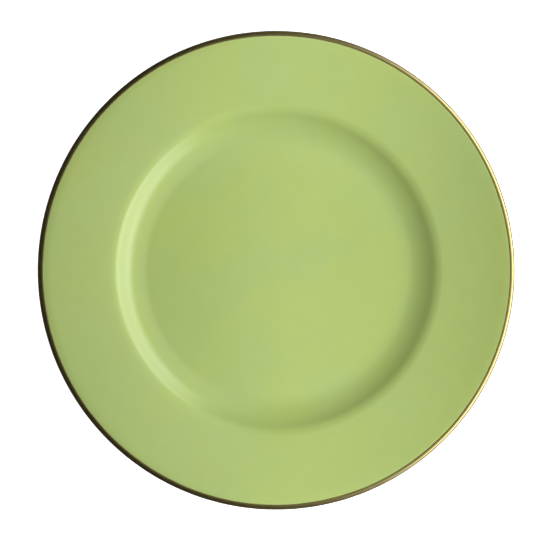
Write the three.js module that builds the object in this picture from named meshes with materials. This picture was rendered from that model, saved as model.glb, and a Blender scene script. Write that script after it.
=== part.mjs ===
// A china dinner plate: a white porcelain body under a clear glaze, with a green enamel ground
// over the face and a gilded lip. It is round, so every piece is a lathed section of the plate.
//
// Frame: millimetres, +Z up, origin at the centre of the plate on the plane that it stands on.
import * as THREE from "three";

// ---- Driving dimensions: millimetres, and degrees for slopes ----

const plateDiameter = 273; // over the gilded lip
const wall = 4; // thickness from the centre to the verge, glaze included

// The face, from the centre outwards: a flat well, a hollow shoulder, a rounded verge and a rim.
const wellRadius = 73; // the edge of the flat
const shoulderRadius = 26; // the hollow of the shoulder, in section
const shoulderSlope = 40; // at its steepest, where it meets the verge
const vergeRadius = 13; // the roll from the shoulder over into the rim, in section
const rimSlope = 9;

// The lip turns over on a large radius and comes back under on a smaller one.
const lipUpperRadius = 2.4;
const lipUnderRadius = 1;

// The foot ring that the plate stands on.
const footHeight = 2.8; // from the tread to the glazed underside
const footOutset = 2.6; // from the edge of the flat out to the middle of the ring
const footWidth = 3.8; // across the bare ring
const footEdgeRadius = 0.8; // the rounded edges of the tread
const footFilletRadius = 1.5; // where the glazed ring meets the underside, at most down to the wipe
const wipedHeight = 1.1; // the glaze is wiped off the ring up to here

// The coats.
const glazeThickness = 0.25;
const enamelThickness = 0.12;
const goldThickness = 0.12;
const goldReach = 0.3; // how far the gilding runs onto the rim past the turn of the lip
const coatClearance = 0.01; // between a coat and what it lies on, so that neither mesh cuts the other

const roundSegments = 48; // facets round the plate

// ---- Half a section of the plate, as stations along its surface ----

const halfTurn = Math.PI;
const quarterTurn = halfTurn / 2;
const shoulderTilt = THREE.MathUtils.degToRad(shoulderSlope);
const rimTilt = THREE.MathUtils.degToRad(rimSlope);

// A station is a point of the section, with the lean of its outward normal away from straight up:
// a quarter turn points away from the axis, and a half turn points straight down.
const station = (r, z, lean) => ({ r, z, lean });

const last = (stations) => stations[stations.length - 1];

// The point at a depth under a station. A negative depth stands proud of the surface.
function under({ r, z, lean }, depth) {
  return new THREE.Vector2(r - depth * Math.sin(lean), z - depth * Math.cos(lean));
}

// Stations along an arc that carries on from a station, which it leaves out, until the normal has
// the end lean. The radius is positive where the surface bulges and negative where it is hollow.
function arc(from, radius, endLean, steps) {
  const centre = under(from, radius);
  return Array.from({ length: steps }, (_, i) => {
    const lean = THREE.MathUtils.lerp(from.lean, endLean, (i + 1) / steps);
    return station(
      centre.x + radius * Math.sin(lean),
      centre.y + radius * Math.cos(lean),
      lean,
    );
  });
}

// The glazed face: the flat well, the shoulder, the verge, and the rim up to the gilding.
const wellHeight = footHeight + wall;
const centre = station(0, wellHeight, 0);
const wellEdge = station(wellRadius, wellHeight, 0);
const shoulder = arc(wellEdge, -shoulderRadius, -shoulderTilt, 5);
const verge = arc(last(shoulder), vergeRadius, -rimTilt, 3);

const glazedRadius = plateDiameter / 2 - goldThickness;
const turnRadius = glazedRadius - lipUpperRadius * (1 + Math.sin(rimTilt));
const rimHeight = (r) => last(verge).z + (r - last(verge).r) * Math.tan(rimTilt);
const goldRadius = turnRadius - goldReach;
const goldEdge = station(goldRadius, rimHeight(goldRadius), -rimTilt);
const enamelRadius = goldRadius - coatClearance;
const enamelEdge = station(enamelRadius, rimHeight(enamelRadius), -rimTilt);
const face = [centre, wellEdge, ...shoulder, ...verge, enamelEdge];

// The lip, over the edge and back under, which the gilding covers.
const turn = station(turnRadius, rimHeight(turnRadius), -rimTilt);
const overLip = arc(turn, lipUpperRadius, quarterTurn, 4);
const underLip = arc(last(overLip), lipUnderRadius, halfTurn - rimTilt, 3);
const lip = [turn, ...overLip, ...underLip];

// The station on the back of the wall, straight behind a station of the face.
function behind(onFace) {
  const point = under(onFace, wall);
  return station(point.x, point.y, onFace.lean + halfTurn);
}

// The back, from the rim inwards: it keeps the wall's thickness behind the verge and the shoulder,
// and turns down into the foot ring on a fillet.
const footRadius = wellRadius + footOutset;
const footOuter = footRadius + footWidth / 2 + glazeThickness;
const footInner = footRadius - footWidth / 2 - glazeThickness;
const footFillet = Math.min(footFilletRadius, footHeight - wipedHeight);
const vergeBack = [last(shoulder), ...verge].map(behind).reverse();
const shoulderBackRadius = shoulderRadius + wall;
const filletRun = footOuter + footFillet - wellRadius;
const filletTilt = Math.asin(filletRun / (shoulderBackRadius + footFillet));
const shoulderBack = arc(last(vergeBack), shoulderBackRadius, halfTurn - filletTilt, 4);
const outerFillet = arc(last(shoulderBack), -footFillet, quarterTurn, 3);
const outerWipe = station(footOuter, wipedHeight, quarterTurn);
const back = [...vergeBack, ...shoulderBack, ...outerFillet, outerWipe];

// The recess inside the foot ring, from the wiped edge up and in to the centre.
const innerWipe = station(footInner, wipedHeight, -quarterTurn);
const innerFilletStart = station(footInner, footHeight - footFillet, -quarterTurn);
const innerFillet = arc(innerFilletStart, -footFillet, -halfTurn, 3);
const recessCentre = station(0, footHeight, -halfTurn);
const recess = [innerWipe, innerFilletStart, ...innerFillet, recessCentre];

// The bare foot between the two wiped edges, at the body's own surface.
const outerEdge = station(footRadius + footWidth / 2, footEdgeRadius, quarterTurn);
const treadInner = station(footRadius - footWidth / 2 + footEdgeRadius, 0, halfTurn);
const bareFoot = [
  outerEdge,
  ...arc(outerEdge, footEdgeRadius, halfTurn, 3),
  treadInner,
  ...arc(treadInner, footEdgeRadius, halfTurn + quarterTurn, 3),
];

// ---- The pieces ----

const atDepth = (stations, depth) => stations.map((at) => under(at, depth));

// The sections run clockwise, from the top outwards, and a lathe wants them the other way.
function lathe(name, section, material) {
  const geometry = new THREE.LatheGeometry(section.toReversed(), roundSegments);
  const mesh = new THREE.Mesh(geometry, material);
  mesh.name = name;
  return mesh;
}

// A coat of a stretch of the surface, down to whatever it lies on. Its section starts and ends on
// the axis where the stretch reaches it, and otherwise closes on itself.
function coat(name, stations, outerDepth, baseDepth, material) {
  const outside = atDepth(stations, outerDepth);
  const inside = atDepth(stations, baseDepth - coatClearance).reverse();
  const endsOnAxis = last(stations).r === 0;
  const section = endsOnAxis ? [...inside, ...outside] : [...outside, ...inside];
  if (stations[0].r > 0 && !endsOnAxis) section.push(section[0].clone());
  return lathe(name, section, material);
}

const biscuit = new THREE.MeshStandardMaterial({ color: 0xefebe1, roughness: 0.75, metalness: 0 });
const clearGlaze = new THREE.MeshStandardMaterial({ color: 0xf6f4ec, roughness: 0.12, metalness: 0 });
const recessGlaze = clearGlaze.clone();
const greenEnamel = new THREE.MeshStandardMaterial({ color: 0xb2c875, roughness: 0.14, metalness: 0 });
const gilding = new THREE.MeshStandardMaterial({ color: 0xd9b45a, roughness: 0.22, metalness: 1 });

const body = lathe(
  "porcelain_body",
  [
    ...atDepth([...face, ...lip, ...back], glazeThickness),
    ...atDepth(bareFoot, 0),
    ...atDepth(recess, glazeThickness),
  ],
  biscuit,
);

// A lathe turns about Y, and the plate stands on Z.
const plate = new THREE.Group();
plate.rotation.x = quarterTurn;
plate.add(
  body,
  coat("glaze_coat", [...face, ...lip, ...back], 0, glazeThickness, clearGlaze),
  coat("foot_recess_glaze", recess, 0, glazeThickness, recessGlaze),
  coat("green_ground", face, -enamelThickness, 0, greenEnamel),
  coat("gold_rim_band", [goldEdge, ...lip], -goldThickness, 0, gilding),
);

export default plate;
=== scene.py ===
"""A china dinner plate: a porcelain body, clear glaze, a green enamel ground and a gilded lip.

It is laid out as a Blender add-on and run as a script. Each coat is a section of the plate, drawn
from one vertex by extruding and spinning, tied off at its edges and spun about the upright axis.
"""

import math

import bmesh
import bpy
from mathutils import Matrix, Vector, noise


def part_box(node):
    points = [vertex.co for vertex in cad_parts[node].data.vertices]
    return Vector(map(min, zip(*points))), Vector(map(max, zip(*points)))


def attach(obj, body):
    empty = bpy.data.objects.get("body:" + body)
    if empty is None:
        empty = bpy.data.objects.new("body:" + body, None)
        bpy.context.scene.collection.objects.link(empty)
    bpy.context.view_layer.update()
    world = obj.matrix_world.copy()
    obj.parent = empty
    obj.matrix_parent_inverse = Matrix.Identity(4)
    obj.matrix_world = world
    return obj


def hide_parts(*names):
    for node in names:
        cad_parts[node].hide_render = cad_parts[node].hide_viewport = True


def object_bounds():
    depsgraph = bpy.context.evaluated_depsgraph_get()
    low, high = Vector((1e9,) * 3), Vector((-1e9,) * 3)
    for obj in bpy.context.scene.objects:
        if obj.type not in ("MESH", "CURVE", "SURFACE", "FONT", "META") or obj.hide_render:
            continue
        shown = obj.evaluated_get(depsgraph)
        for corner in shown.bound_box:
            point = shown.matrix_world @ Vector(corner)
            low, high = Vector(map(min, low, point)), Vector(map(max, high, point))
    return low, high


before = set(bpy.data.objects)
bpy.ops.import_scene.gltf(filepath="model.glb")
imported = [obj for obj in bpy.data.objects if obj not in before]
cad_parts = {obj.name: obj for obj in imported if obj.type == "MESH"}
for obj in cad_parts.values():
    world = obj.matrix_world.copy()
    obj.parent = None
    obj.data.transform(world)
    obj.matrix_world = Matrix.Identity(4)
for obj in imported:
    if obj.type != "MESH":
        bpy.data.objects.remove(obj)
cad_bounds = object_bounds()

bl_info = {
    "name": "Gilded Dinner Plate",
    "version": (1, 0, 0),
    "blender": (4, 5, 0),
    "location": "3D View > Sidebar > Plate",
    "description": "Builds a green-ground china dinner plate with a gilded lip",
    "category": "Object",
}

MM = 0.001
UP = Vector((0, 0, 1))
ACROSS_SECTION = Vector((0, 1, 0))  # a section lies in the XZ plane
HALF_TURN = math.pi
QUARTER_TURN = math.pi / 2
SPUN_STEPS = 240  # facets round the plate
WELD = 1e-6  # metres; vertices this close are one
EDGE_SHARE = 0.4  # of a coat's thickness, taken off the corners of its edges
BRUSH_BENDS = 9  # how finely the banding brush strays, along the rim


# ---- Settings ---------------------------------------------------------------------------------


def length(name, description, millimetres):
    """A size, given in millimetres and kept in metres."""
    return bpy.props.FloatProperty(
        name=name,
        description=description,
        default=millimetres * MM,
        min=0.0,
        unit="LENGTH",
    )


def slope(name, description, degrees):
    """A slope, given in degrees and kept in radians."""
    return bpy.props.FloatProperty(
        name=name,
        description=description,
        default=math.radians(degrees),
        min=0.0,
        subtype="ANGLE",
    )


def colour(name, description, red, green, blue):
    """A colour, in linear light."""
    return bpy.props.FloatVectorProperty(
        name=name,
        description=description,
        default=(red, green, blue),
        size=3,
        min=0.0,
        max=1.0,
        subtype="COLOR",
    )


def strength(name, description, value):
    """How strongly something shines."""
    return bpy.props.FloatProperty(name=name, description=description, default=value, min=0.0)


class PlateSizes(bpy.types.PropertyGroup):
    """The section of the plate, over its coats of glaze."""

    wall: length("Wall", "Thickness from the centre out to the verge", 4)
    well_radius: length("Well radius", "Edge of the flat well", 73)
    shoulder_radius: length("Shoulder radius", "Hollow of the shoulder, in section", 26)
    shoulder_slope: slope("Shoulder slope", "Slope where the shoulder meets the verge", 40)
    verge_radius: length("Verge radius", "Roll from the shoulder over into the rim", 13)
    rim_slope: slope("Rim slope", "Rise of the rim", 9)
    lip_upper_radius: length("Lip upper radius", "Turn of the lip over its edge", 2.4)
    lip_under_radius: length("Lip under radius", "Turn of the lip back underneath", 1)
    gold_reach: length("Gold reach", "Gilding on the rim past the turn of the lip", 0.3)
    foot_height: length("Foot height", "From the table to the glazed underside", 2.8)
    foot_outset: length("Foot outset", "From the edge of the flat to the foot ring", 2.6)
    foot_width: length("Foot width", "Across the bare foot ring", 3.8)
    foot_edge_radius: length("Foot edge radius", "Rounded edges of the tread", 0.8)
    foot_fillet_radius: length("Foot fillet radius", "Foot ring into the underside", 1.5)
    wiped_height: length("Wiped height", "Bare clay above the table", 1.1)
    glaze_thickness: length("Glaze thickness", "Clear glaze over the body", 0.25)
    enamel_thickness: length("Enamel thickness", "Green ground over the glaze", 0.12)
    gold_thickness: length("Gold thickness", "Gilding over the glaze", 0.12)
    kiln_warp: length("Kiln warp", "How far the firing moved the lip up and down", 0.12)
    brush_waver: length("Brush waver", "How far the banding brush strayed", 0.15)


class PlateColours(bpy.types.PropertyGroup):
    """The colours of the body and of its coats."""

    biscuit: colour("Biscuit", "Bare fired clay of the foot", 0.78, 0.74, 0.66)
    glaze: colour("Glaze", "Clear glaze over white clay", 0.8, 0.795, 0.765)
    green: colour("Green ground", "Enamel ground of the face", 0.447, 0.578, 0.187)
    gold: colour("Gold", "Bright gold of the lip", 0.87, 0.73, 0.29)


class StudioLevels(bpy.types.PropertyGroup):
    """The strengths of the studio's lights."""

    fill: strength("Fill", "Even light from all round", 0.21)
    overhead: strength("Overhead", "Broad strip over the plate, in watts", 0.35)
    side: strength("Side", "Low softbox on the right, in watts", 2.15)
    window: strength("Window", "What gloss reflects, low on the right", 2.45)
    ceiling: strength("Ceiling", "What gloss reflects overhead", 0.45)
    walls: strength("Walls", "What gloss reflects all round", 0.2)


# ---- Sections ---------------------------------------------------------------------------------


class Section:
    """Half a section of the plate, drawn along its surface and at one depth beneath it.

    It keeps the tip of the line on the surface, and the lean of the surface's outward normal away
    from straight up: a quarter turn points away from the axis, and a half turn straight down.
    """

    def __init__(self, mesh, radius, height, lean, depth):
        self.mesh = mesh
        self.point = Vector((radius, 0, height))
        self.lean = lean
        self.depth = depth
        self.first = bmesh.ops.create_vert(mesh, co=self.under(depth))["vert"][0]
        self.tip = self.first

    def normal(self):
        """Straight out of the surface, one metre long."""
        return Vector((math.sin(self.lean), 0, math.cos(self.lean)))

    def under(self, depth):
        """Beneath the surface, or over it where the depth is negative."""
        return self.point - depth * self.normal()

    def change_depth(self, depth):
        """Stays at the tip, which lies at this depth from here on."""
        self.depth = depth
        self.point = self.tip.co + depth * self.normal()

    def extrude(self, way, steps):
        """Grows the line from its tip, in equal steps."""
        for _ in range(steps):
            grown = bmesh.ops.extrude_vert_indiv(self.mesh, verts=[self.tip])
            self.tip = grown["verts"][0]
            self.tip.co += way / steps

    def run(self, distance, steps=1):
        """Straight ahead."""
        way = distance * Vector((math.cos(self.lean), 0, -math.sin(self.lean)))
        self.extrude(way, steps)
        self.point += way

    def run_out_to(self, radius, steps=1):
        """Straight ahead, until the surface is that far from the axis."""
        self.run((radius - self.point.x) / math.cos(self.lean), steps)

    def run_up_to(self, height):
        """Straight ahead, until the surface is that high."""
        self.run((self.point.z - height) / math.sin(self.lean))

    def reach(self, section_point, lean, steps):
        """Straight to a point of the surface, where its normal leans that way."""
        self.point = section_point
        self.lean = lean
        self.extrude(self.under(self.depth) - self.tip.co, steps)

    def turn(self, radius, end_lean, steps):
        """Along an arc, until the normal leans that way. A hollow arc has a negative radius."""
        centre = self.under(radius)
        spun = bmesh.ops.spin(
            self.mesh,
            geom=[self.tip],
            cent=centre,
            axis=ACROSS_SECTION,
            angle=end_lean - self.lean,
            steps=steps,
        )
        self.tip = spun["geom_last"][0]
        self.lean = end_lean
        self.point = centre + radius * self.normal()


def turn_radius(sizes):
    """Where the rim starts to turn over into the lip."""
    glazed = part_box("gold_rim_band")[1].x - sizes.gold_thickness
    return glazed - sizes.lip_upper_radius * (1 + math.sin(sizes.rim_slope))


def gilding_radius(sizes):
    """Where the gilding begins on the rim."""
    return turn_radius(sizes) - sizes.gold_reach


def start_on_face(mesh, sizes, depth):
    """At the centre of the well."""
    return Section(mesh, 0, sizes.foot_height + sizes.wall, 0, depth)


def start_at_gilding(mesh, sizes, depth):
    """On the rim, where the gilding begins. A trial section of the face finds the place."""
    trial = start_on_face(bmesh.new(), sizes, 0)
    draw_face(trial, sizes, gilding_radius(sizes))
    trial.mesh.free()
    return Section(mesh, trial.point.x, trial.point.z, trial.lean, depth)


def draw_face(section, sizes, edge_radius):
    """The flat well, the hollow shoulder, the rounded verge and the rim."""
    section.run_out_to(sizes.well_radius, steps=8)
    section.turn(-sizes.shoulder_radius, -sizes.shoulder_slope, steps=14)
    section.turn(sizes.verge_radius, -sizes.rim_slope, steps=10)
    section.run_out_to(edge_radius, steps=8)


def draw_lip(section, sizes):
    """Over the edge on a large radius, and back under on a small one."""
    section.turn(sizes.lip_upper_radius, QUARTER_TURN, steps=12)
    section.turn(sizes.lip_under_radius, HALF_TURN - sizes.rim_slope, steps=8)


def draw_ground(section, sizes):
    """The face, and on under the gilding as far as the banding brush may stray."""
    draw_face(section, sizes, gilding_radius(sizes) + sizes.brush_waver)


def draw_gilding(section, sizes):
    """The last of the rim, and the lip."""
    section.run(sizes.gold_reach / math.cos(sizes.rim_slope), steps=2)
    draw_lip(section, sizes)


def draw_back(section, sizes):
    """From the lip in to the wiped edge of the foot ring, a wall's thickness behind the face."""
    shoulder_centre = Vector(
        (sizes.well_radius, 0, sizes.foot_height + sizes.wall + sizes.shoulder_radius)
    )
    steepest = Vector((math.sin(sizes.shoulder_slope), 0, -math.cos(sizes.shoulder_slope)))
    verge_centre = shoulder_centre + steepest * (sizes.shoulder_radius + sizes.verge_radius)
    verge_end = Vector((-math.sin(sizes.rim_slope), 0, math.cos(sizes.rim_slope)))
    back_radius = sizes.verge_radius - sizes.wall
    section.reach(verge_centre + verge_end * back_radius, HALF_TURN - sizes.rim_slope, steps=6)
    section.turn(-back_radius, HALF_TURN - sizes.shoulder_slope, steps=8)

    shoulder_back = sizes.shoulder_radius + sizes.wall
    fillet = sizes.foot_fillet_radius
    outer = sizes.well_radius + sizes.foot_outset + sizes.foot_width / 2 + sizes.glaze_thickness
    meeting = math.asin((outer + fillet - sizes.well_radius) / (shoulder_back + fillet))
    section.turn(shoulder_back, HALF_TURN - meeting, steps=12)
    section.turn(-fillet, QUARTER_TURN, steps=8)
    section.run_up_to(sizes.wiped_height)


def draw_outside(section, sizes):
    """Everything that is glazed in one skin: the face, the lip and the back."""
    draw_face(section, sizes, turn_radius(sizes))
    draw_lip(section, sizes)
    draw_back(section, sizes)


def draw_bare_foot(section, sizes):
    """The wiped foot ring: down, round its two rounded edges and up again."""
    edge = sizes.foot_edge_radius
    section.run_up_to(edge)
    section.turn(edge, HALF_TURN, steps=6)
    section.run(sizes.foot_width - 2 * edge, steps=2)
    section.turn(edge, HALF_TURN + QUARTER_TURN, steps=6)
    section.run_up_to(sizes.wiped_height)


def start_in_recess(mesh, sizes, depth):
    """At the wiped edge inside the foot ring."""
    radius = sizes.well_radius + sizes.foot_outset - sizes.foot_width / 2 - sizes.glaze_thickness
    return Section(mesh, radius, sizes.wiped_height, HALF_TURN + QUARTER_TURN, depth)


def draw_recess(section, sizes):
    """From the inner wiped edge up the ring's wall and in to the centre of the underside."""
    section.run_up_to(sizes.foot_height - sizes.foot_fillet_radius)
    section.turn(-sizes.foot_fillet_radius, HALF_TURN, steps=8)
    section.run_out_to(0, steps=8)


def tie(mesh, one, other, rounding):
    """Joins the two lines of a coat at its edge, and rounds off the two corners."""
    bmesh.ops.contextual_create(mesh, geom=[one, other])
    bmesh.ops.bevel(
        mesh,
        geom=[one, other],
        offset=rounding,
        offset_type="OFFSET",
        segments=3,
        profile=0.5,
        affect="VERTICES",
        material=-1,
    )


def spin_whole(mesh):
    """Turns a section into a closed solid with its faces outwards."""
    bmesh.ops.spin(
        mesh,
        geom=list(mesh.verts) + list(mesh.edges),
        cent=(0, 0, 0),
        axis=UP,
        angle=2 * math.pi,
        steps=SPUN_STEPS,
        use_merge=True,
    )
    bmesh.ops.remove_doubles(mesh, verts=mesh.verts, dist=WELD)
    bmesh.ops.recalc_face_normals(mesh, faces=mesh.faces)


def coat_between(sizes, outer_depth, base_depth, start, draw):
    """Draws a coat's two lines, ties the edges that are off the axis, and spins it."""
    mesh = bmesh.new()
    lines = []
    for depth in (outer_depth, base_depth):
        line = start(mesh, sizes, depth)
        draw(line, sizes)
        lines.append(line)
    outer, base = lines
    rounding = EDGE_SHARE * (base_depth - outer_depth)
    for one, other in ((outer.first, base.first), (outer.tip, base.tip)):
        if one.co.xy.length > WELD:
            tie(mesh, one, other, rounding)
    spin_whole(mesh)
    return mesh


def warp_in_kiln(mesh, sizes):
    """Lifts and drops the rim a little, as firing does. The foot ring stays flat.

    The rim takes up a saddle and a three-lobed wave, each turned by an angle of its own.
    """
    still = sizes.well_radius + sizes.foot_outset + sizes.foot_width
    free = turn_radius(sizes) - still
    for vertex in mesh.verts:
        out = max(0.0, (vertex.co.xy.length - still) / free)
        around = math.atan2(vertex.co.y, vertex.co.x)
        saddle = math.sin(2 * around + 0.7)
        three_lobed = math.sin(3 * around + 2.1)
        vertex.co.z += sizes.kiln_warp * (saddle + 0.5 * three_lobed) * out * out


def stray_brush(mesh, sizes):
    """Moves the gilding's inner edge in and out along the rim, as a brush held by hand does."""
    turn = turn_radius(sizes)
    for vertex in mesh.verts:
        share = (turn - vertex.co.xy.length) / sizes.gold_reach
        if share > 0:
            out = vertex.co.xy.normalized()
            waver = noise.noise((BRUSH_BENDS * out.x, BRUSH_BENDS * out.y, 0.5))
            stray = sizes.brush_waver * min(share, 1.0) * waver
            vertex.co += stray * Vector((out.x, out.y, math.tan(sizes.rim_slope)))


def finish_piece(name, mesh, sizes, node, material):
    """Makes the mesh an object that rides on the plate and stands for its CAD node."""
    warp_in_kiln(mesh, sizes)
    data = bpy.data.meshes.new(name)
    mesh.to_mesh(data)
    mesh.free()
    data.shade_smooth()
    data.materials.append(material)
    piece = bpy.data.objects.new(name, data)
    bpy.context.scene.collection.objects.link(piece)
    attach(piece, "root")
    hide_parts(node)


# ---- Finishes ---------------------------------------------------------------------------------


class Signal:
    """An output socket that takes part in arithmetic. Each sum adds a Math node."""

    def __init__(self, finish, socket):
        self.finish = finish
        self.socket = socket

    def maths(self, operation, *values):
        return self.finish.maths(operation, *values)

    def __add__(self, other):
        return self.maths("ADD", self, other)

    def __radd__(self, other):
        return self.maths("ADD", other, self)

    def __sub__(self, other):
        return self.maths("SUBTRACT", self, other)

    def __rsub__(self, other):
        return self.maths("SUBTRACT", other, self)

    def __mul__(self, other):
        return self.maths("MULTIPLY", self, other)

    def __rmul__(self, other):
        return self.maths("MULTIPLY", other, self)

    def __truediv__(self, other):
        return self.maths("DIVIDE", self, other)

    def rise(self, start, end):
        """Nought up to the start, one past the end, and smooth between."""
        return self.finish.node(
            "ShaderNodeMapRange",
            {"interpolation_type": "SMOOTHSTEP"},
            {"Value": self, "From Min": start, "From Max": end},
            "Result",
        )

    def hump(self, middle, width):
        """One at the middle, falling smoothly to nought that far on either side."""
        return 1 - self.maths("ABSOLUTE", self - middle).rise(0.0, width)


class Finish:
    """A material in the making."""

    def __init__(self, name):
        self.material = bpy.data.materials.new(name)
        self.material.use_nodes = True
        self.tree = self.material.node_tree
        self.tree.nodes.clear()
        self.place = self.node("ShaderNodeTexCoord", {}, {}, "Object")

    def node(self, kind, settings, inputs, output=0):
        """Adds a node, sets it up, and gives each named input its value or its link."""
        made = self.tree.nodes.new(kind)
        for setting, value in settings.items():
            setattr(made, setting, value)
        for socket, value in inputs.items():
            if isinstance(value, Signal):
                self.tree.links.new(value.socket, made.inputs[socket])
            else:
                made.inputs[socket].default_value = value
        return Signal(self, made.outputs[output])

    def maths(self, operation, *values):
        """A sum on numbers."""
        inputs = dict(enumerate(values))
        return self.node("ShaderNodeMath", {"operation": operation}, inputs)

    def vector(self, operation, *values, output="Vector"):
        """A sum on vectors, whose result is a vector or, by its output, a value."""
        inputs = dict(enumerate(values))
        return self.node("ShaderNodeVectorMath", {"operation": operation}, inputs, output)

    def mixed(self, factor, one, other):
        """From one colour to the other. A Mix node's colours are inputs 6 and 7 and output 2."""
        colours = [each if isinstance(each, Signal) else (*each, 1.0) for each in (one, other)]
        inputs = {0: factor, 6: colours[0], 7: colours[1]}
        return self.node("ShaderNodeMix", {"data_type": "RGBA"}, inputs, 2)

    def shaded(self, base, level):
        """A colour made lighter or darker by a level about one."""
        inputs = {"Vector": base, "Scale": level}
        return self.node("ShaderNodeVectorMath", {"operation": "SCALE"}, inputs, "Vector")

    def cloud(self, size, detail=2.0, place=None):
        """Soft noise from nought to one, with features about that many metres across."""
        inputs = {"Vector": place or self.place, "Scale": 1 / size, "Detail": detail}
        return self.node("ShaderNodeTexNoise", {}, inputs, "Fac")

    def specks(self, spacing, size):
        """Small round specks, one at their middles: few, scattered and of different sizes."""
        cells = {"Vector": self.place, "Scale": 1 / spacing, "Randomness": 1.0}
        distance = self.node("ShaderNodeTexVoronoi", {}, cells, "Distance")
        chance = self.node("ShaderNodeTexVoronoi", {}, cells, "Color")
        pick = self.along(chance, (1.0, 0.0, 0.0))
        reach = (pick - 0.5) * (2 * size / spacing)
        return 1 - (distance / self.maths("MAXIMUM", reach, 1e-4)).rise(0.6, 1.0)

    def scratches(self, turn, width):
        """Thin straight scratches about that wide apart, turned by an angle in radians."""
        placing = {"Vector": self.place, "Rotation": (0.0, 0.0, turn), "Scale": (1.0, 0.03, 1.0)}
        stretched = self.node("ShaderNodeMapping", {}, placing, "Vector")
        return self.cloud(width, detail=4.0, place=stretched).hump(0.5, 0.02)

    def along(self, vector, direction):
        """How far a vector goes in a direction."""
        return self.vector("DOT_PRODUCT", vector, direction, output="Value")

    def laid_flat(self, vector):
        """A vector without its height."""
        return self.vector("MULTIPLY", vector, (1.0, 1.0, 0.0))

    def from_axis(self):
        """How far a point is from the plate's axis, in metres."""
        return self.vector("LENGTH", self.laid_flat(self.place), output="Value")

    def height(self):
        """How high a point is, in metres."""
        return self.along(self.place, (0.0, 0.0, 1.0))

    def bump(self, relief, depth):
        """The normal of a relief from nought to one that is that many metres deep."""
        inputs = {"Height": relief, "Distance": depth, "Strength": 1.0}
        return self.node("ShaderNodeBump", {}, inputs, "Normal")

    def surface(self, sockets):
        """Ends the material in one Principled shader."""
        shader = self.node("ShaderNodeBsdfPrincipled", {}, sockets)
        ending = self.tree.nodes.new("ShaderNodeOutputMaterial")
        self.tree.links.new(shader.socket, ending.inputs["Surface"])
        return self.material


def enamel_finish(sizes, colours):
    """Green enamel, dabbed on by hand: thin over the verge, and pooled in the shoulder."""
    enamel = Finish("green_enamel")
    out = enamel.from_axis()
    verge = sizes.well_radius + sizes.shoulder_radius * math.sin(sizes.shoulder_slope)
    thin = out.hump(verge + 3 * MM, 5 * MM)
    pooled = out.hump(sizes.well_radius + 5 * MM, 9 * MM)
    washes = enamel.cloud(70 * MM) - 0.5
    dabs = enamel.cloud(9 * MM, detail=3.0) - 0.5
    grain = enamel.cloud(0.8 * MM) - 0.5
    level = 1 + 0.08 * washes + 0.05 * dabs + 0.03 * grain + 0.03 * thin - 0.03 * pooled
    warmth = enamel.cloud(40 * MM, detail=3.0).rise(0.35, 0.65)
    yellower = Vector(colours.green) * Vector((1.03, 1.0, 0.9))
    ground = enamel.shaded(enamel.mixed(warmth, colours.green, yellower), level)
    speckled = enamel.mixed(0.45 * enamel.specks(11 * MM, 0.25 * MM), ground, (0.16, 0.2, 0.05))
    rubbed = out.rise(sizes.well_radius, 0.7 * sizes.well_radius)
    scuffs = enamel.scratches(0.3, 1.1 * MM) + enamel.scratches(-0.9, 1.7 * MM)
    gloss = 0.12 + 0.05 * enamel.cloud(25 * MM) + 0.02 * rubbed * scuffs
    orange_peel = 0.7 * enamel.cloud(3.5 * MM) + 0.3 * dabs
    return enamel.surface(
        {
            "Base Color": speckled,
            "Roughness": gloss,
            "IOR": 1.7,
            "Normal": enamel.bump(orange_peel, 0.008 * MM),
        }
    )


def glaze_finish(sizes, colours):
    """Clear glaze on white clay: a cool tint where it pools, pinholes and a few iron specks."""
    glaze = Finish("clear_glaze_on_white")
    out = glaze.from_axis()
    foot = sizes.well_radius + sizes.foot_outset
    pooled = out.hump(foot, 6 * MM) * (0.6 + 0.4 * glaze.cloud(14 * MM))
    level = 1 + 0.03 * (glaze.cloud(60 * MM) - 0.5) + 0.02 * (glaze.cloud(4 * MM) - 0.5)
    milky = glaze.shaded(colours.glaze, level)
    cool = Vector(colours.glaze) * Vector((0.86, 0.95, 0.95))
    tinted = glaze.mixed(0.8 * pooled, milky, cool)
    iron = glaze.specks(14 * MM, 0.3 * MM)
    speckled = glaze.mixed(0.6 * iron, tinted, (0.2, 0.13, 0.07))
    pinholes = glaze.specks(7 * MM, 0.2 * MM)
    relief = 0.8 * glaze.cloud(3 * MM) + 0.2 * glaze.cloud(0.9 * MM) - 2 * pinholes
    return glaze.surface(
        {
            "Base Color": speckled,
            "Roughness": 0.08 + 0.06 * glaze.cloud(30 * MM) + 0.3 * pinholes,
            "IOR": 1.52,
            "Normal": glaze.bump(relief, 0.012 * MM),
        }
    )


def biscuit_finish(colours):
    """Bare fired clay: fine grain, and grey rubbing on the tread from shelf and stack."""
    biscuit = Finish("bare_biscuit")
    grain = biscuit.cloud(0.35 * MM, detail=4.0)
    blotches = biscuit.cloud(6 * MM, detail=3.0)
    level = 1 + 0.12 * (grain - 0.5) + 0.1 * (blotches - 0.5)
    clay = biscuit.shaded(colours.biscuit, level)
    tread = 1 - biscuit.height().rise(0.05 * MM, 0.4 * MM)
    rubbed = tread * blotches.rise(0.45, 0.6) * (0.4 + 0.6 * grain)
    grubby = biscuit.mixed(0.45 * rubbed, clay, (0.3, 0.28, 0.25))
    grit = biscuit.specks(2.2 * MM, 0.14 * MM)
    return biscuit.surface(
        {
            "Base Color": biscuit.mixed(0.5 * grit, grubby, (0.22, 0.17, 0.12)),
            "Roughness": 0.82 - 0.25 * rubbed,
            "Normal": biscuit.bump(grain, 0.03 * MM),
        }
    )


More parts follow.
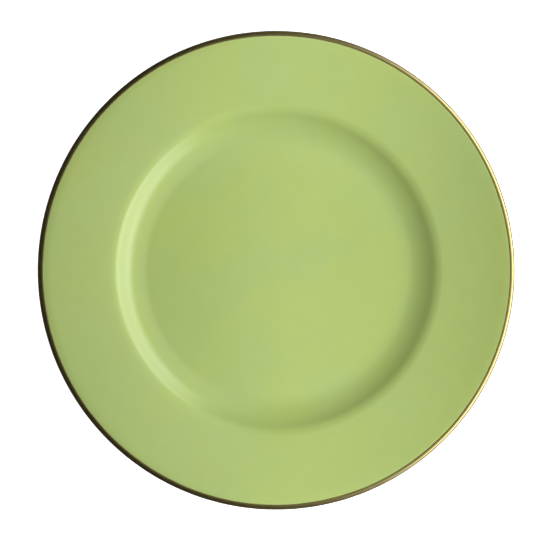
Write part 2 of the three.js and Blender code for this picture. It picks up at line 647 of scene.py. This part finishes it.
def gold_finish(colours):
    """Bright gold banded on with a brush: fine streaks round the lip, and wear at its very edge."""
    gold = Finish("bright_gold")
    out = gold.from_axis()
    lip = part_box("gold_rim_band")[1].x
    hair = 0.22 * MM
    hairs_across = out / hair + gold.height() / hair
    around = gold.vector("NORMALIZE", gold.laid_flat(gold.place))
    hairs = gold.node("ShaderNodeCombineXYZ", {}, {"Z": hairs_across})
    drawn_out = gold.vector("MULTIPLY", gold.vector("ADD", hairs, around), (6.0, 6.0, 1.0))
    streaks = gold.cloud(1.0, detail=3.0, place=drawn_out)
    mottle = gold.cloud(5 * MM, detail=3.0)
    edge = out.rise(lip - 0.7 * MM, lip - 0.1 * MM)
    bare = edge * gold.cloud(2.5 * MM, detail=4.0).rise(0.68, 0.74)
    metal = gold.shaded(colours.gold, 0.9 + 0.12 * streaks + 0.08 * mottle)
    return gold.surface(
        {
            "Base Color": gold.mixed(0.6 * bare, metal, (0.6, 0.52, 0.4)),
            "Metallic": 1 - 0.6 * bare,
            "Roughness": 0.22 + 0.16 * streaks + 0.1 * mottle * edge,
            "Normal": gold.bump(streaks, 0.006 * MM),
        }
    )


# ---- Pieces -----------------------------------------------------------------------------------


class PLATE_OT_fire_body(bpy.types.Operator):
    """Fire the white body: well, shoulder, rim, lip and foot ring in one solid"""

    bl_idname = "plate.fire_body"
    bl_label = "Fire Body"
    bl_options = {"REGISTER", "UNDO"}

    def execute(self, context):
        sizes = context.scene.plate_sizes
        mesh = bmesh.new()
        line = start_on_face(mesh, sizes, sizes.glaze_thickness)
        draw_outside(line, sizes)
        line.change_depth(0)
        draw_bare_foot(line, sizes)
        line.change_depth(sizes.glaze_thickness)
        draw_recess(line, sizes)
        spin_whole(mesh)
        material = biscuit_finish(context.scene.plate_colours)
        finish_piece("fired_body", mesh, sizes, "porcelain_body", material)
        return {"FINISHED"}


class PLATE_OT_glaze_plate(bpy.types.Operator):
    """Glaze the plate in one skin, from the foot ring round the lip and over the face"""

    bl_idname = "plate.glaze_plate"
    bl_label = "Glaze Plate"
    bl_options = {"REGISTER", "UNDO"}

    def execute(self, context):
        sizes = context.scene.plate_sizes
        mesh = coat_between(sizes, 0, sizes.glaze_thickness, start_on_face, draw_outside)
        material = glaze_finish(sizes, context.scene.plate_colours)
        finish_piece("clear_glaze_skin", mesh, sizes, "glaze_coat", material)
        return {"FINISHED"}


class PLATE_OT_glaze_recess(bpy.types.Operator):
    """Pool clear glaze inside the foot ring"""

    bl_idname = "plate.glaze_recess"
    bl_label = "Glaze Recess"
    bl_options = {"REGISTER", "UNDO"}

    def execute(self, context):
        sizes = context.scene.plate_sizes
        mesh = coat_between(sizes, 0, sizes.glaze_thickness, start_in_recess, draw_recess)
        material = glaze_finish(sizes, context.scene.plate_colours)
        finish_piece("recess_glaze_pool", mesh, sizes, "foot_recess_glaze", material)
        return {"FINISHED"}


class PLATE_OT_lay_ground(bpy.types.Operator):
    """Lay the green enamel ground over the face, up to the gilding"""

    bl_idname = "plate.lay_ground"
    bl_label = "Lay Green Ground"
    bl_options = {"REGISTER", "UNDO"}

    def execute(self, context):
        sizes = context.scene.plate_sizes
        mesh = coat_between(sizes, -sizes.enamel_thickness, 0, start_on_face, draw_ground)
        material = enamel_finish(sizes, context.scene.plate_colours)
        finish_piece("green_enamel_ground", mesh, sizes, "green_ground", material)
        return {"FINISHED"}


class PLATE_OT_gild_lip(bpy.types.Operator):
    """Band the lip with gold, over the edge and under it"""

    bl_idname = "plate.gild_lip"
    bl_label = "Gild Lip"
    bl_options = {"REGISTER", "UNDO"}

    def execute(self, context):
        sizes = context.scene.plate_sizes
        mesh = coat_between(sizes, -sizes.gold_thickness, 0, start_at_gilding, draw_gilding)
        stray_brush(mesh, sizes)
        material = gold_finish(context.scene.plate_colours)
        finish_piece("gilded_lip_band", mesh, sizes, "gold_rim_band", material)
        return {"FINISHED"}


# ---- Stage ------------------------------------------------------------------------------------

CAMERA_LENS = 135.0  # millimetres
CAMERA_SENSOR = 36.0  # millimetres
CAMERA_LEAN = math.radians(5.5)  # to the left of straight overhead
FRAME_SHARE = 0.876  # of the picture's width that the plate takes
FRAMING_SHIFT = (-0.0094, -0.0068)  # shares of the picture's width
FLOOR_RADIUS = 8.0  # metres
FLOOR_GAP = 0.02 * MM  # so that the tread and the floor don't share a plane
DOME_RADIUS = 0.95 * FLOOR_RADIUS
TENT_RADIUS = 4.0  # metres
BLACK = (0.0, 0.0, 0.0, 1.0)
WHITE = (1.0, 1.0, 1.0, 1.0)


def matt_light(name, place, aim, width, depth, spread, watts):
    """A rectangular light that gives no highlight, in metres and with its spread in degrees."""
    light = bpy.data.lights.new(name, "AREA")
    light.shape = "RECTANGLE"
    light.size = width
    light.size_y = depth
    light.spread = math.radians(spread)
    light.energy = watts
    box = bpy.data.objects.new(name, light)
    bpy.context.scene.collection.objects.link(box)
    box.location = place
    box.rotation_euler = (Vector(aim) - Vector(place)).to_track_quat("-Z", "Y").to_euler()
    box.visible_camera = False
    box.visible_glossy = False


def link_backdrop(name, mesh, material):
    """Makes the mesh a part of the stage."""
    data = bpy.data.meshes.new(name)
    mesh.to_mesh(data)
    mesh.free()
    data.materials.append(material)
    backdrop = bpy.data.objects.new(name, data)
    bpy.context.scene.collection.objects.link(backdrop)
    return backdrop


def seen_by(backdrop, camera=False, glossy=False):
    """Hides a backdrop from every other kind of ray."""
    backdrop.visible_camera = camera
    backdrop.visible_glossy = glossy
    backdrop.visible_diffuse = False
    backdrop.visible_transmission = False
    backdrop.visible_volume_scatter = False
    backdrop.visible_shadow = False


def glowing_ball(name, radius, glow, finish):
    """A backdrop all round the plate that only glows, and isn't sampled as a light."""
    mesh = bmesh.new()
    bmesh.ops.create_uvsphere(mesh, u_segments=64, v_segments=32, radius=radius)
    material = finish.surface(
        {"Base Color": BLACK, "Emission Color": glow, "Emission Strength": 1.0}
    )
    material.cycles.emission_sampling = "NONE"
    return link_backdrop(name, mesh, material)


def pale_floor():
    """A white floor that glows evenly, except for a painted shadow underneath the plate, where its
    glow fades out.
    """
    mesh = bmesh.new()
    bmesh.ops.create_circle(mesh, cap_ends=True, segments=96, radius=FLOOR_RADIUS)
    bmesh.ops.translate(mesh, verts=mesh.verts, vec=-FLOOR_GAP * UP)
    paper = Finish("pale_floor")
    shade = paper.shaded((0.9, 0.9, 0.9), 0.97 + 0.03 * paper.cloud(400 * MM))
    lip = cad_bounds[1][0]
    # Painted shadow: the floor's glow fades to nothing under the plate, standing in for the shade
    # the plate casts
    past_painted_shadow = paper.from_axis().rise(0.6 * lip, lip)
    material = paper.surface(
        {
            "Base Color": shade,
            "Roughness": 0.9,
            "Emission Color": paper.shaded(shade, past_painted_shadow),
            "Emission Strength": 1.0,
        }
    )
    link_backdrop("floor", mesh, material).visible_glossy = False


def white_dome():
    """What the camera sees past the edge of the floor."""
    dome = glowing_ball("white_dome", DOME_RADIUS, WHITE, Finish("white_dome"))
    seen_by(dome, camera=True)


def light_tent(levels):
    """A tent that only reflections see: bright low on the right, dim overhead and all round.

    The window is dimmer low down, so that it doesn't bleach the green when seen along the face.
    """
    tent = Finish("light_tent")
    ray = tent.vector("NORMALIZE", tent.place)
    upward = tent.along(ray, (0.0, 0.0, 1.0))
    rightward = tent.along(ray, (1.0, 0.0, 0.0))
    right_of_middle = tent.along(tent.vector("NORMALIZE", tent.laid_flat(ray)), (1.0, 0.0, 0.0))
    elevation = tent.maths("ARCSINE", upward)

    def climb(low, high):
        """Nought below the low elevation and one above the high one, both in degrees."""
        return elevation.rise(math.radians(low), math.radians(high))

    sill = climb(-1, 6) * (0.8 + 0.2 * climb(16, 28))
    window = levels.window * sill * (1 - climb(28, 47)) * right_of_middle.rise(0.45, 0.85)
    ceiling = levels.ceiling * upward.rise(0.4, 0.9) * (0.06 + rightward.rise(0.06, 0.4))
    belt = levels.walls * (1 - climb(5, 30)) * (0.08 + right_of_middle.rise(-0.6, 0.9))
    glow = window + ceiling + belt * climb(-40, -10)
    grey = tent.node("ShaderNodeCombineXYZ", {}, {"X": glow, "Y": glow, "Z": glow})
    seen_by(glowing_ball("light_tent", TENT_RADIUS, grey, tent), glossy=True)


def even_surround(level):
    """Even light from all round, which isn't mirrored."""
    world = bpy.data.worlds.new("even_surround")
    world.use_nodes = True
    background = world.node_tree.nodes["Background"]
    background.inputs["Color"].default_value = WHITE
    background.inputs["Strength"].default_value = level
    world.cycles_visibility.glossy = False
    bpy.context.scene.world = world


def overhead_camera():
    """Looks down on the lip, leaning a little, and frames the whole plate."""
    camera = bpy.data.cameras.new("camera")
    camera.lens = CAMERA_LENS
    camera.sensor_width = CAMERA_SENSOR
    camera.shift_x, camera.shift_y = FRAMING_SHIFT
    placed = bpy.data.objects.new("camera", camera)
    bpy.context.scene.collection.objects.link(placed)
    low, high = cad_bounds
    view_width = (high.x - low.x) / FRAME_SHARE
    backward = Vector((-math.sin(CAMERA_LEAN), 0, math.cos(CAMERA_LEAN)))
    placed.location = high.z * UP + backward * view_width * CAMERA_LENS / CAMERA_SENSOR
    placed.rotation_euler = (0, -CAMERA_LEAN, 0)
    bpy.context.scene.camera = placed


class PLATE_OT_set_stage(bpy.types.Operator):
    """Set the pale floor, the soft lights and the overhead camera"""

    bl_idname = "plate.set_stage"
    bl_label = "Set Stage"
    bl_options = {"REGISTER", "UNDO"}

    def execute(self, context):
        levels = context.scene.studio_levels
        pale_floor()
        white_dome()
        even_surround(levels.fill)
        light_tent(levels)
        matt_light(
            "overhead",
            place=(0.03, 0, 0.32),
            aim=(0.03, 0, 0),
            width=0.08,
            depth=1.6,
            spread=70,
            watts=levels.overhead,
        )
        matt_light(
            "side",
            place=(0.94, -0.15, 0.72),
            aim=(-0.04, 0, 0),
            width=1.3,
            depth=0.5,
            spread=45,
            watts=levels.side,
        )
        overhead_camera()
        bpy.context.scene.view_settings.view_transform = "Standard"
        return {"FINISHED"}


class PLATE_PT_workshop(bpy.types.Panel):
    """The steps of making the plate, in the order of the pottery"""

    bl_idname = "PLATE_PT_workshop"
    bl_label = "Gilded Dinner Plate"
    bl_space_type = "VIEW_3D"
    bl_region_type = "UI"
    bl_category = "Plate"

    def draw(self, context):
        layout = self.layout
        scene = context.scene
        for settings in (scene.plate_sizes, scene.plate_colours, scene.studio_levels):
            column = layout.column(align=True)
            for name in settings.__annotations__:
                column.prop(settings, name)
        column = layout.column(align=True)
        for operator in OPERATORS:
            column.operator(operator.bl_idname)


SETTINGS = {
    "plate_sizes": PlateSizes,
    "plate_colours": PlateColours,
    "studio_levels": StudioLevels,
}
OPERATORS = (
    PLATE_OT_fire_body,
    PLATE_OT_glaze_plate,
    PLATE_OT_glaze_recess,
    PLATE_OT_lay_ground,
    PLATE_OT_gild_lip,
    PLATE_OT_set_stage,
)
CLASSES = (*SETTINGS.values(), *OPERATORS, PLATE_PT_workshop)


def register():
    for each in CLASSES:
        bpy.utils.register_class(each)
    for name, settings in SETTINGS.items():
        setattr(bpy.types.Scene, name, bpy.props.PointerProperty(type=settings))


def unregister():
    for name in SETTINGS:
        delattr(bpy.types.Scene, name)
    for each in reversed(CLASSES):
        bpy.utils.unregister_class(each)


def main():
    register()
    bpy.ops.plate.fire_body()
    bpy.ops.plate.glaze_plate()
    bpy.ops.plate.glaze_recess()
    bpy.ops.plate.lay_ground()
    bpy.ops.plate.gild_lip()
    bpy.ops.plate.set_stage()


if __name__ == "__main__":
    main()
